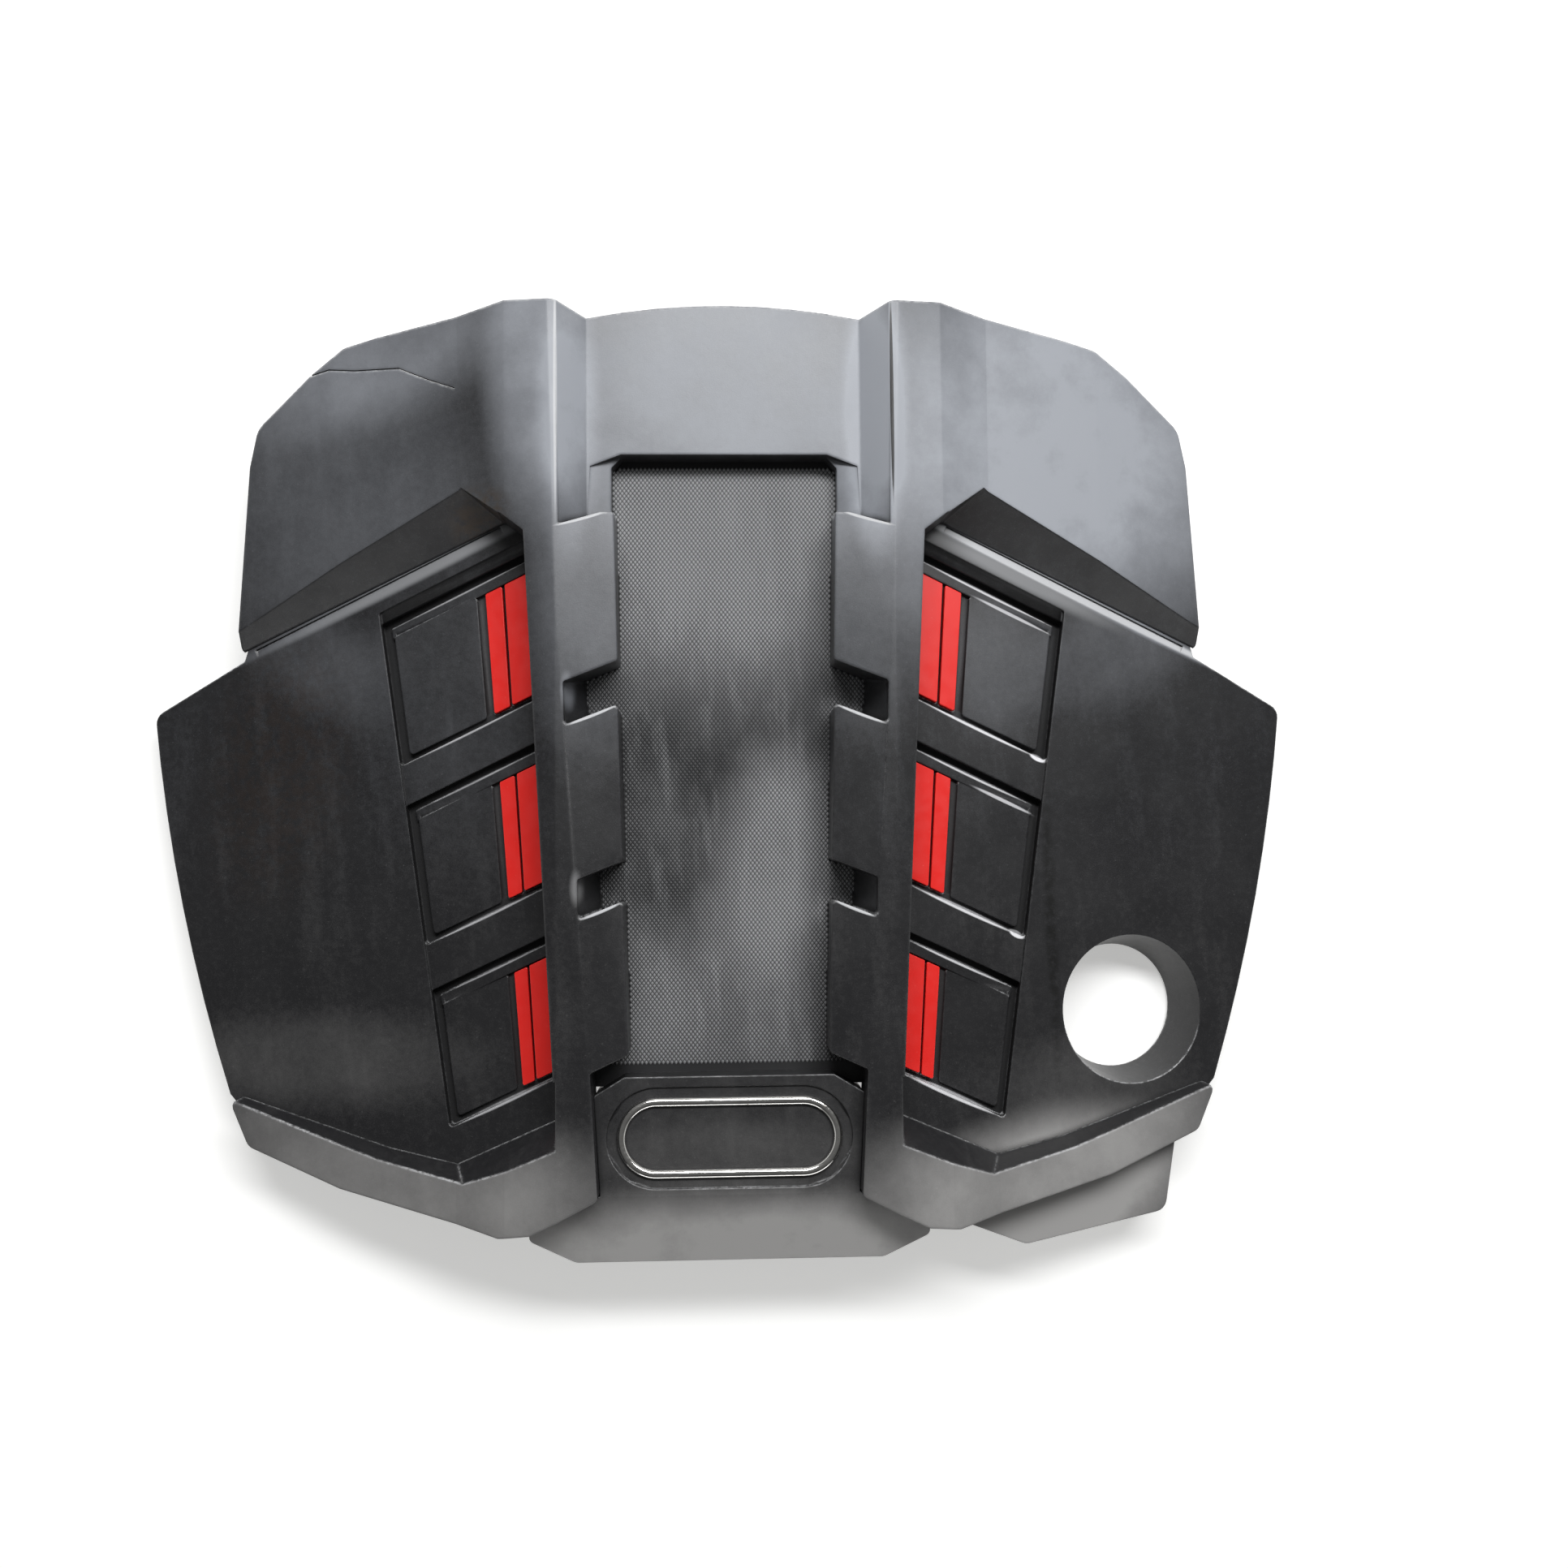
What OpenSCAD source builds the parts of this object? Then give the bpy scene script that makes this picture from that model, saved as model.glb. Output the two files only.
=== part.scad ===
// Engine cover for a V6: an H-shaped upper frame over two side wings, a grained centre panel,
// a front badge panel, six red two-bar inserts, four rubber ball sockets and a foam pad below.
// It lies flat on the lower rims of its wings. +Y is the rear of the car, +X its left side.

/* [Frame] */
// Wall thickness of every moulding
wall = 2.5; // [2:0.1:3.5]
// Height of the spine crests above the rims that the cover rests on
crest_z = 100; // [92:1:112]
// Depth of the rear centre trough below the crests
trough_depth = 20; // [12:1:24]
// Half width of the flat bottom of the rear trough
trough_half_w = 81; // [76:1:86]
// Half width of the centre opening, just behind the badge panel
opening_half_w = 57.5; // [52:0.5:60]
// How far the slanted end of a notch reaches into it
notch_run = 12; // [8:1:16]
// Height of a notch's slanted end above the centre panel
notch_rise = 31; // [20:1:33]

/* [Wings] */
// Downward slope of the wings to the outside, in degrees
wing_slope = 9.65; // [8:0.25:11]
// Half width over both wings, at the widest place
wing_half_w = 349.5; // [345:0.5:355]
// Bulge of a wing's outer edge over a straight line
wing_bulge = 6.5; // [3:0.5:10]
// Depth of the short skirt round the hidden edges of a wing
flange_h = 10; // [7:0.5:14]

/* [Bays] */
// Number of bays in each wing
bay_count = 3; // [1:1:3]
// Distance from one bay to the next
bay_pitch = 117.5; // [112:0.5:120]
// Length of the rear bay beside the spine
bay_len = 92; // [86:1:96]
// How much shorter each bay is than the one behind it
bay_shrink = 3; // [0:0.5:4]
// Depth of the bays below the wing
bay_depth = 9; // [7:0.5:11]
// Depth of the ribs between the bays below the wing
rib_drop = 2; // [1:0.5:3]
// Slant of the bays' ends, in degrees
bay_slant = 25; // [22:0.5:28]
// Height of a pad's outer end above the bay floor
pad_h = 5.5; // [4:0.5:6.5]
// Width of the groove between the bars and a pad
pad_gap = 5.5; // [3:0.5:8]
// Height of the ledge behind the bars and the pad
ledge_h = 3; // [2:0.5:4]
// Width of the channel between a ledge and the outer end of its bay
channel_w = 4.5; // [4:0.5:6]
// Width of the chamfer along the rear edge of a wing
chamfer_run = 4.5; // [3:0.5:6]
// Depth of that chamfer at the foot of the frame
chamfer_drop = 1.5; // [1:0.1:1.8]

/* [Red inserts] */
// Height of the red bars above the bay floor
bar_h = 4.5; // [3:0.5:6]
// Width of the wide bar at the rear bay
wide_bar_w = 14.5; // [12:0.5:15]
// Width of the narrow bar at the rear bay
narrow_bar_w = 10.5; // [8:0.5:11]
// Gap between the two bars
bar_gap = 1.6; // [1.2:0.1:2.4]
// Gap between a bar and its slot
slot_clearance = 0.3; // [0.2:0.05:0.5]
// Thickness of the plate that joins two bars under the floor
insert_plate_t = 2; // [1.5:0.1:3]

/* [Oil filler neck] */
// Radius of the filler hole at the wing
neck_top_r = 45.5; // [42:0.5:48]
// Radius of the filler hole at its lower end
neck_low_r = 38; // [34:0.5:40]
// Depth of the neck below the wing
neck_depth = 31; // [24:1:32]

/* [Badge panel] */
// Height of the badge panel above the rims that the cover rests on
badge_panel_z = 84; // [80:1:88]
// Downward bend of the panel's front lip, in degrees
lip_angle = 24; // [18:1:30]
// Gap between the badge panel and the legs beside it
panel_gap = 0.4; // [0.3:0.1:0.8]
// Length of the plain chrome ring
badge_w = 130; // [118:1:134]
// Height of the plain chrome ring across the panel
badge_h = 46; // [40:1:48]
// Width of the ring's bar
badge_bar_w = 5; // [4:0.5:7]
// Depth of the recess round the ring
badge_recess = 1.5; // [1:0.1:2]

/* [Ball sockets and foam] */
// Radius of the ball stud's bore in a rubber socket
socket_bore_r = 5; // [4.5:0.1:6]
// Outer radius of a rubber socket
socket_r = 12.5; // [11:0.5:14]
// Height of a rubber socket
socket_h = 13; // [11:0.5:15]
// Gap round a rubber socket in its cup
socket_clearance = 0.1; // [0.05:0.01:0.2]
// Height of the sockets' lower ends above the rims
socket_z = 12; // [9:0.5:15]
// Thickness of the foam pad
foam_t = 12; // [8:1:16]

/* [Damage] */
// Width of the crack in the rear left corner
crack_w = 0.7; // [0.4:0.1:1.2]

/* [Hidden] */
$fn = 64;
BAYS = [for (k = [1:bay_count]) k];
SIDES = ["left", "right"];

BLACK = "#1b1d20";
far = 900;
steps = 4;

// Heights that the pieces share
seat_z = 62;
split_x = 87.5;
split_gap = 0.5;
wing_root_z = 66.7;
trough_z = crest_z - trough_depth;
plateau_drop = 4;
foot_drop = 7;
panel_front = -128;
panel_rear = 252;
foam_half_w = 74;
foam_front = -105;
foam_rear = 225;

// Heights across the frame, from its middle to its outer edge: [x, height]
frame_section = [
    [0, crest_z], [98, crest_z], [128, crest_z - 7],
    [157, crest_z - 20], [228, crest_z - 38], [286, crest_z - 55], [310, crest_z - 61]
];

// Places where the frame meets its neighbours
spine_rear = [116.5, 196];
spine_front = [98.5, -145];
window_top = [154, 224];
window_foot = [131, 207.4];
panel_corner = [294.5, 131.5];
leg_vee = [160.5, -172.5];
leg_mid = [201, -163.5];
leg_end = [298.5, -132];
leg_tip = [113.5, -206.5];
leg_inner = [75, -187];
wall_top_y = 244;
rear_y = 333.5;
front_y = -229;
origin_y = (rear_y + front_y) / 2;

function unit(v) = v / norm(v);
function turned(v) = [-v.y, v.x];
function plan(p) = [p.x, p.y];
function radius(p) = len(p) > 2 ? p[2] : 0;
function mirrored(points) = [for (i = [len(points) - 1:-1:0]) [-points[i].x, points[i].y, radius(points[i])]];
function both_sides(points) = concat(points, mirrored(points));
function area(p) = let (n = len(p))
    [for (i = [0:n - 1]) p[i].x * p[(i + 1) % n].y - p[(i + 1) % n].x * p[i].y]
    * [for (i = [0:n - 1]) 0.5];
function corner(p, i) = let (n = len(p), s = sign(area(p)),
        u = unit(plan(p[i]) - plan(p[(i + n - 1) % n])), v = unit(plan(p[(i + 1) % n]) - plan(p[i])))
    [u, v, s, sign(s * cross(u, v))];

// An outline moved inwards by d, or outwards where d is negative, with its corner radii kept true
function inset(p, d) = [for (i = [0:len(p) - 1])
    let (c = corner(p, i), a = turned(c[0]) * c[2], b = turned(c[1]) * c[2],
         q = plan(p[i]) + d * (a + b) / (1 + a * b), r = radius(p[i]))
    [q.x, q.y, r > 0 ? max(r - c[3] * d, 0.2) : 0]];

// The outline's points, with an arc in place of each corner that has a radius
function rounded(p) = [for (i = [0:len(p) - 1])
    let (c = corner(p, i), r = radius(p[i]), turn = acos(max(-1, min(1, c[0] * c[1]))),
         t = r * tan(turn / 2), start = plan(p[i]) - c[0] * t, side = sign(cross(c[0], c[1])),
         centre = start + turned(c[0]) * side * r)
    for (k = [0:(r > 0 ? arc_steps(r) : 0)])
        r > 0 ? centre + rotate_by(start - centre, side * turn * k / arc_steps(r)) : plan(p[i])];
function arc_steps(r) = r > 15 ? 4 * steps : steps;
function rotate_by(v, angle) = [v.x * cos(angle) - v.y * sin(angle), v.x * sin(angle) + v.y * cos(angle)];

// Points of a shallow curve from a to b that stands out by sag at its middle
function bow(a, b, sag, n) = let (out = -turned(unit(b - a)))
    [for (i = [0:n]) let (t = i / n) a + (b - a) * t - out * sag * 4 * t * (1 - t)];

// Sides of the bays spread like a fan from a point far in front of the cover
fan_x = 68.3;
fan_y = -830;
fan_ref_y = 170;
rail_gap = 7;
bay_top_y = 192;
bay_inner = 116;
bay_outer = 211;
bar_margin = 13;
function bay_point(x_ref, y_ref) =
    let (m = (x_ref - fan_x) / (fan_ref_y - fan_y), t = tan(bay_slant),
         y = (y_ref - (fan_x - m * fan_y - bay_inner) * t) / (1 + m * t))
    [fan_x + m * (y - fan_y), y];
function fan_quad(x1, x2, y_top, y_low, r = 0) =
    [for (c = [[x1, y_top], [x2, y_top], [x2, y_low], [x1, y_low]])
        let (q = bay_point(c[0], c[1])) [q.x, q.y, r]];
function bay_top(k) = bay_top_y - (k - 1) * bay_pitch;
function bay_low(k) = bay_top(k) - bay_len + (k - 1) * bay_shrink;
function bar_top(k) = bay_top(k) - bar_margin;
function bar_low(k) = bay_low(k) + 4;
function bay_outline(k) = fan_quad(bay_inner, bay_outer, bay_top(k), bay_low(k), 2);
function pad_outline(k) =
    fan_quad(bar_x(1) + narrow_bar_w + pad_gap, bay_outer - 7, bar_top(k) + 2, bar_low(k), 2);
function ledge_outline(k) =
    fan_quad(bay_inner - bar_margin, bay_outer - channel_w - 1, bay_top(k) - 5, bar_top(k) + 0.8, 1);
function bar_x(i) = bay_inner + 2 + (i == 0 ? 0 : wide_bar_w + bar_gap);
function bar_w(i) = i == 0 ? wide_bar_w : narrow_bar_w;
function bar_outline(k, i) =
    fan_quad(bar_x(i), bar_x(i) + bar_w(i), bar_top(k), bar_low(k), 1);
function insert_plate(k) =
    fan_quad(bar_x(0), bar_x(1) + bar_w(1), bar_top(k), bar_low(k), 1);

// Two notches in each spine: [inner x, front y, rear y] at the centre opening
notches = [[opening_half_w + 2.5, -18.5, 4.5], [opening_half_w + 5, 94.5, 120]];
// The crest runs along the spines' tops, and the notches end at it
crest_ref = [94, 95];
crest_lean = 0.066;
function crest_x(y) = crest_ref.x + (y - crest_ref.y) * crest_lean;
function slant(x1, x2) = (x2 - x1) * tan(bay_slant - 3);
function notch_edge(n) = let (x_low = crest_x(n[1]) - 1, x_high = crest_x(n[2]) - 2) [
    [n[0], n[1], 2], [x_low, n[1] - slant(n[0], x_low), 2],
    [x_high, n[2] - slant(n[0], x_high), 2], [n[0], n[2], 2]
];
inner_edge = concat(
    [[leg_tip.x, leg_tip.y, 3], [leg_inner.x, leg_inner.y, 3], [79, -115.5, 2], [opening_half_w, -106, 2]],
    notch_edge(notches[0]),
    notch_edge(notches[1]),
    [[opening_half_w + 7, 208, 2], [opening_half_w + 9.5, 211, 2], [opening_half_w + 9.5, 237, 2],
     [opening_half_w + 3.5, wall_top_y, 2]]
);
outer_edge = [
    [99, 330.5, 2], [128, 331.5, 8], [160, 325.5, 8], [206, 317.5], [227, 312.8, 12], [248, 298, 12],
    [282, 268, 14], [287, 245, 12], [panel_corner.x, panel_corner.y, 3],
    [window_foot.x, window_foot.y, 1], [spine_rear.x, spine_rear.y, 5], [spine_front.x, spine_front.y, 2],
    [leg_vee.x, leg_vee.y, 3], [leg_mid.x, leg_mid.y, 6], [leg_end.x, leg_end.y, 4],
    [285, -162, 8], [227, -184.5, 10], [132, -208.5, 4]
];
rear_arc = [for (q = bow([-trough_half_w, rear_y - 8], [trough_half_w, rear_y - 8], 8, 8)) [q.x, q.y, 0]];
frame_outline = concat(rear_arc, outer_edge, inner_edge, mirrored(concat(outer_edge, inner_edge)));

module prism(points, low = -far / 2, high = far / 2) {
    translate([0, 0, low]) linear_extrude(height = high - low) polygon(rounded(points));
}

// A section drawn across the cover, swept from front to rear
module swept(section) {
    translate([0, far / 2, 0]) rotate([90, 0, 0]) linear_extrude(height = far) polygon(section);
}

// All that lies on the far side of the plane through a, b and c, moved back by d
module beyond(a, b, c, d = 0) {
    n = unit(cross(b - a, c - a));
    translate(a) rotate([0, acos(n.z), atan2(n.y, n.x)]) translate([-far, -far, -d]) cube([2 * far, 2 * far, far]);
}

// The origin lies under the middle of the cover's outline
module placed() {
    translate([0, -origin_y, 0]) children();
}

module on_both_sides() {
    children();
    mirror([1, 0, 0]) children();
}

function wing_z(x) = wing_root_z - (x - split_x) * tan(wing_slope);
function section_z(x) = lookup(x, frame_section);

// The space under the wing's surface, or under a surface drop lower
module below_wing(drop = 0) {
    swept([[0, wing_z(0) - drop], [far, wing_z(far) - drop], [far, -far], [0, -far]]);
}

// All that stands higher than the surfaces that the frame rests on
module above_seat() {
    swept([[-far, wing_z(far)], [-split_x, wing_z(split_x)], [-split_x, seat_z], [split_x, seat_z],
           [split_x, wing_z(split_x)], [far, wing_z(far)], [far, far], [-far, far]]);
}

// The rear trough with its two sloped sides and its slanted front steps
module trough(d) {
    intersection() {
        prism(inset([[-99, 420], [99, 420], [96, 198.5], [opening_half_w + 6, 208.7],
                     [-opening_half_w - 6, 208.7], [-96, 198.5]], -d));
        swept([[-99 - d, crest_z + 1 - d], [-trough_half_w - d / 2, trough_z - d],
               [trough_half_w + d / 2, trough_z - d], [99 + d, crest_z + 1 - d], [99 + d, far], [-99 - d, far]]);
    }
}

// The flat inner half of a spine, which falls a little from the crest to the centre opening
module plateau(d) {
    rear = [crest_x(330), 330, crest_z];
    front = [crest_x(-190), -190, crest_z];
    inner = [opening_half_w, 0, crest_z - plateau_drop];
    intersection() {
        prism([[0, -far], [far, -far], [far, far], [0, far]]);
        beyond(rear, inner, front, d);
    }
}

// The strip beside the trough's front end, which falls to the centre opening
module trough_foot(d) {
    crease = [trough_half_w, wall_top_y, trough_z];
    crease_end = [trough_half_w, 200, trough_z];
    inner = [opening_half_w + 3.5, 220, trough_z - foot_drop];
    intersection() {
        prism(inset([[trough_half_w - 2, 237, 0], [opening_half_w + 3.5, wall_top_y, 0],
                     [0, wall_top_y, 0], [0, 200, 0], [trough_half_w, 200, 0]], -d));
        beyond(crease, inner, crease_end, d);
        prism([[-far, 206 - d], [far, 206 - d], [far, far], [-far, far]]);
    }
}

// The long slope from a rear corner panel down to the wing
module panel_slope(d) {
    top = [window_top.x, window_top.y, section_z(window_top.x)];
    end = [290, 147.5, section_z(290)];
    foot = [window_foot.x, window_foot.y, wing_z(window_foot.x)];
    intersection() {
        prism(inset([[window_top.x + 20, window_top.y + 14.5], [far, 238.5], [far, 0], [spine_rear.x, 0],
                     [spine_rear.x, spine_rear.y]], -d));
        beyond(top, foot, end, d);
    }
}

// The steep steps from a wing up to a front leg
module leg_step(d) {
    vee_foot = [leg_vee.x, leg_vee.y, wing_z(leg_vee.x)];
    vee_top = [153, -179.5, section_z(153)];
    inner_foot = [spine_front.x, spine_front.y, wing_z(spine_front.x)];
    outer_foot = [leg_mid.x, leg_mid.y, wing_z(leg_mid.x)];
    end_foot = [leg_end.x, leg_end.y, wing_z(leg_end.x)];
    outer_top = [197, -169.5, section_z(197)];
    beyond_spine = [[spine_front.x, -120], [spine_front.x, -far], [far, -far], [far, -120]];
    intersection() {
        prism(inset(beyond_spine, -d));
        beyond(vee_foot, inner_foot, vee_top, d);
        beyond(outer_foot, vee_foot, vee_top, d);
        beyond(end_foot, outer_foot, outer_top, d);
    }
}

// The frame's outer form, moved in by d, down to far below its rim
module frame_form(d) {
    lowered = [for (q = frame_section) [q.x, q.y - d]];
    difference() {
        intersection() {
            prism(inset(frame_outline, d));
            swept(concat([for (i = [len(lowered) - 1:-1:0]) [-lowered[i].x, lowered[i].y]], lowered,
                         [[310, -far], [-310, -far]]));
        }
        trough(d);
        on_both_sides() {
            plateau(d);
            trough_foot(d);
            panel_slope(d);
            leg_step(d);
        }
    }
    on_both_sides() for (n = notches) notch_slope(n, d);
}

// The slanted outer end of a notch, which climbs from the centre panel towards the crest
module notch_slope(n, d) {
    foot = crest_x(n[1]) - notch_run;
    x = foot - 2;
    end = crest_x(n[1]) + 8;
    low = n[1] - 4;
    high = n[2] + 4;
    outline = [[x, low - slant(n[0], x)], [end, low - slant(n[0], end)],
               [end, high - slant(n[0], end)], [x, high - slant(n[0], x)]];
    difference() {
        prism(inset(outline, d), -far / 2, seat_z + notch_rise - d);
        beyond([foot + (high - low) * crest_lean, high, seat_z], [foot, low, seat_z],
               [foot + notch_run - 1, low, seat_z + notch_rise], d);
    }
}

module crack() {
    path = [[-250, 297.5], [-236.5, 300.5], [-220, 298.6], [-192.7, 298], [-175.7, 290.3], [-158.3, 283.6]];
    polygon_points = concat([for (q = path) q + [0, crack_w / 2]],
                            [for (i = [len(path) - 1:-1:0]) path[i] - [0, crack_w / 2]]);
    translate([0, 0, seat_z - 20]) linear_extrude(height = 60) polygon(polygon_points);
}

module chips() {
    for (q = [[257, 293, 5], [266, 286, 6]])
        translate([q[0], q[1], section_z(q[0])]) rotate([0, 0, -42]) rotate([35, 0, 0])
            translate([-q[2], 0, -3]) cube([2 * q[2], 8, 8]);
}

module frame() {
    color(BLACK) difference() {
        intersection() {
            frame_form(0);
            above_seat();
        }
        frame_form(wall);
        crack();
        chips();
    }
}

// Outline of a wing: its inner edge lies under the spine, its ends under the panel and the leg
wing_front_corner = [300, -133];
wing_rear_corner = [293, 128.5];
function wing_outline(ear) = concat(
    [[split_x + split_gap, 222], [136, 219, 4], [wing_rear_corner.x - 6, 148], [wing_rear_corner.x, wing_rear_corner.y, 2]],
    [for (q = bow([wing_half_w, 96], wing_front_corner, wing_bulge, 8)) [q.x, q.y, q.y > 90 ? 8 : 0]],
    [[280, -156, 4]],
    ear ? [[274, -165, 4], [266, -211.5, 8], [177, -227, 10], [142, -213, 4], [128, -196, 4]]
        : [[225, -177, 4], [130, -199, 4]],
    [[split_x + split_gap, -172]]
);

module wing_form(ear, d) {
    difference() {
        intersection() {
            prism(inset(wing_outline(ear), d));
            below_wing(d);
        }
        for (k = BAYS) difference() {
            prism(inset(bay_outline(k), -d));
            below_wing(bay_depth + d);
        }
        difference() {
            prism(inset(bay_group(), -d));
            below_wing(rib_drop + d);
        }
    }
    for (k = BAYS) {
        intersection() {
            prism(inset(pad_outline(k), d));
            pad_surface(d);
        }
        intersection() {
            prism(inset(ledge_outline(k), d));
            below_wing(bay_depth - ledge_h + d);
        }
    }
}

// The chamfer that takes the wing's rear edge down to the foot of the frame's slope
function on_wing(p, drop) = [p.x, p.y, wing_z(p.x) - drop];
module rear_chamfer() {
    u = unit(panel_corner - window_foot);
    out = turned(u) * -chamfer_run;
    from = window_foot + 4 * u;
    to = panel_corner - 9 * u;
    intersection() {
        prism([from, to, to + out, from + out]);
        beyond(on_wing(to, chamfer_drop), on_wing(from, chamfer_drop), on_wing(from + out, 0));
    }
}

// One outline round all the bays, within which the ribs stand a little lower than the wing
function bay_group() = fan_quad(bay_inner - 3, bay_outer, bay_top(1) + rail_gap, bay_low(bay_count), 2);

// The pads' surface, which climbs a little from the bars to the outside
module pad_surface(d) {
    inner_x = bay_inner - 20;
    swept([[inner_x, wing_z(inner_x) - bay_depth + 0.5 - d],
           [bay_outer, wing_z(bay_outer) - bay_depth + pad_h - d], [bay_outer, -far], [inner_x, -far]]);
}

module outer_skirt() {
    prism([[wing_rear_corner.x - 1, 131], [far, 131], [far, wing_front_corner.y - 2],
           [wing_rear_corner.x - 1, wing_front_corner.y - 2]], 0, far);
}

module wing(ear) {
    difference() {
        intersection() {
            wing_form(ear, 0);
            union() {
                difference() {
                    prism(inset(wing_outline(ear), -1), 0, far / 2);
                    below_wing(flange_h + 2 * wall);
                }
                outer_skirt();
            }
        }
        wing_form(ear, wall);
        rear_chamfer();
        for (k = BAYS, i = [0, 1]) prism(inset(bar_outline(k, i), -slot_clearance));
    }
    for (p = socket_places) socket_cup(p);
}

// The tapered neck round the oil filler, square to the wing's surface
neck_place = [247.5, -89];
module at_neck() {
    translate([neck_place.x, neck_place.y, wing_z(neck_place.x)]) rotate([0, wing_slope, 0]) children();
}

module neck_hole() {
    at_neck() translate([0, 0, -neck_depth - 1]) cylinder(r1 = neck_low_r, r2 = neck_top_r, h = neck_depth + 2);
}

module neck() {
    at_neck() translate([0, 0, -neck_depth]) difference() {
        cylinder(r1 = neck_low_r + wall, r2 = neck_top_r + wall, h = neck_depth - wall / 2);
        translate([0, 0, -1]) cylinder(r1 = neck_low_r, r2 = neck_top_r, h = neck_depth + 2);
    }
}

socket_places = [[225, 118], [190, -176]];

// A cup below the wing that holds a rubber socket
module socket_cup(p) {
    top = wing_z(p.x) - wall / 2;
    cup_r = socket_r + socket_clearance;
    intersection() {
        translate([p.x, p.y, socket_z + 3]) difference() {
            cylinder(r = cup_r + wall, h = top - socket_z);
            translate([0, 0, -1]) cylinder(r = cup_r, h = socket_h - 3 + 1);
        }
        below_wing(wall / 2);
    }
}

module left_wing() {
    color(BLACK) mirror([1, 0, 0]) wing(false);
}

module right_wing() {
    color(BLACK) {
        difference() {
            wing(true);
            neck_hole();
        }
        neck();
    }
}

module centre_panel() {
    half_w = split_x;
    color("#26282b") prism([[half_w, panel_rear, 6], [half_w, panel_front, 2], [-half_w, panel_front, 2],
                            [-half_w, panel_rear, 6]], seat_z - wall, seat_z);
}

// Outline of the badge panel between and in front of the legs
badge_side = [
    [opening_half_w + 3, -120, 3], [78.4 - panel_gap, -130.5, 2],
    [leg_inner.x - panel_gap, leg_inner.y - panel_gap, 0],
    [leg_tip.x + 0.5, leg_tip.y - 0.5 - panel_gap, 3], [118, -214, 4], [90, front_y, 8]
];
module badge_form(d) {
    crease_y = -188;
    intersection() {
        prism(inset(both_sides(badge_side), d));
        translate([-far / 2, crease_y, 0]) rotate([90, 0, 90]) linear_extrude(height = far)
            polygon([[far, badge_panel_z - d], [0, badge_panel_z - d],
                     [-far, badge_panel_z - d - far * tan(lip_angle)], [-far, -far], [far, -far]]);
    }
}

badge_y = -155;
function obround(w, h) = [for (s = [[1, 1], [1, -1], [-1, -1], [-1, 1]]) [s.x * w / 2, badge_y + s.y * h / 2, h / 2 - 0.01]];
badge_margin = 6;

module badge_panel() {
    color(BLACK) difference() {
        intersection() {
            badge_form(0);
            union() {
                prism(inset(both_sides(badge_side), -1), seat_z, far / 2);
                prism([[-far, panel_front - 1], [far, panel_front - 1], [far, -far], [-far, -far]], seat_z - 14, far / 2);
            }
        }
        difference() {
            badge_form(wall);
            prism(obround(badge_w + 2 * badge_margin + 2 * wall, badge_h + 2 * badge_margin + 2 * wall),
                  badge_panel_z - badge_recess - wall, far / 2);
        }
        prism(obround(badge_w + 2 * badge_margin, badge_h + 2 * badge_margin), badge_panel_z - badge_recess, far / 2);
    }
}

// A plain chrome ring in the badge panel's recess
module badge_ring() {
    color("silver") translate([0, 0, badge_panel_z - badge_recess]) linear_extrude(height = badge_recess + 2) difference() {
        polygon(rounded(obround(badge_w, badge_h)));
        polygon(rounded(obround(badge_w - 2 * badge_bar_w, badge_h - 2 * badge_bar_w)));
    }
}

// Two red bars on one plate that lies against the underside of the bay floor
module red_insert(k) {
    plate_top = bay_depth + wall;
    color("#c8161d") {
        intersection() {
            union() for (i = [0, 1]) prism(bar_outline(k, i));
            difference() {
                below_wing(bay_depth - bar_h);
                below_wing(plate_top + insert_plate_t / 2);
            }
        }
        intersection() {
            prism(inset(insert_plate(k), -2));
            difference() {
                below_wing(plate_top);
                below_wing(plate_top + insert_plate_t);
            }
        }
    }
}

// A rubber socket that snaps over a ball stud on the engine
module ball_socket(p) {
    color("#303030") translate([p.x, p.y, socket_z]) difference() {
        union() {
            cylinder(r = socket_r, h = socket_h);
            cylinder(r = socket_r + wall, h = 3);
        }
        translate([0, 0, -1]) cylinder(r = socket_bore_r, h = 10 + 1);
        translate([0, 0, -0.01]) cylinder(r1 = socket_bore_r + 1.5, r2 = socket_bore_r, h = 1.5);
    }
}

module foam_pad() {
    color("#3a3a3c") prism(both_sides([[foam_half_w, foam_front, 10], [foam_half_w, foam_rear, 10]]),
                           seat_z - wall - foam_t, seat_z - wall);
}

placed() frame();
placed() left_wing();
placed() right_wing();
placed() centre_panel();
placed() badge_panel();
placed() badge_ring();
for (k = BAYS) {
    placed() mirror([1, 0, 0]) red_insert(k);
    placed() red_insert(k);
}
for (i = [0, 1]) {
    end = ["rear", "front"][i];
    placed() mirror([1, 0, 0]) ball_socket(socket_places[i]);
    placed() ball_socket(socket_places[i]);
}
placed() foam_pad();
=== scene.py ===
"""Dresses the engine cover: moulded shells with worn edges, painted highlights and painted shade,
a grained centre panel, red bars, a plain chrome ring, rubber sockets and a foam pad, on a pale
floor under soft light."""

import math

import bmesh
import bpy
from mathutils import Matrix, Vector, noise


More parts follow.
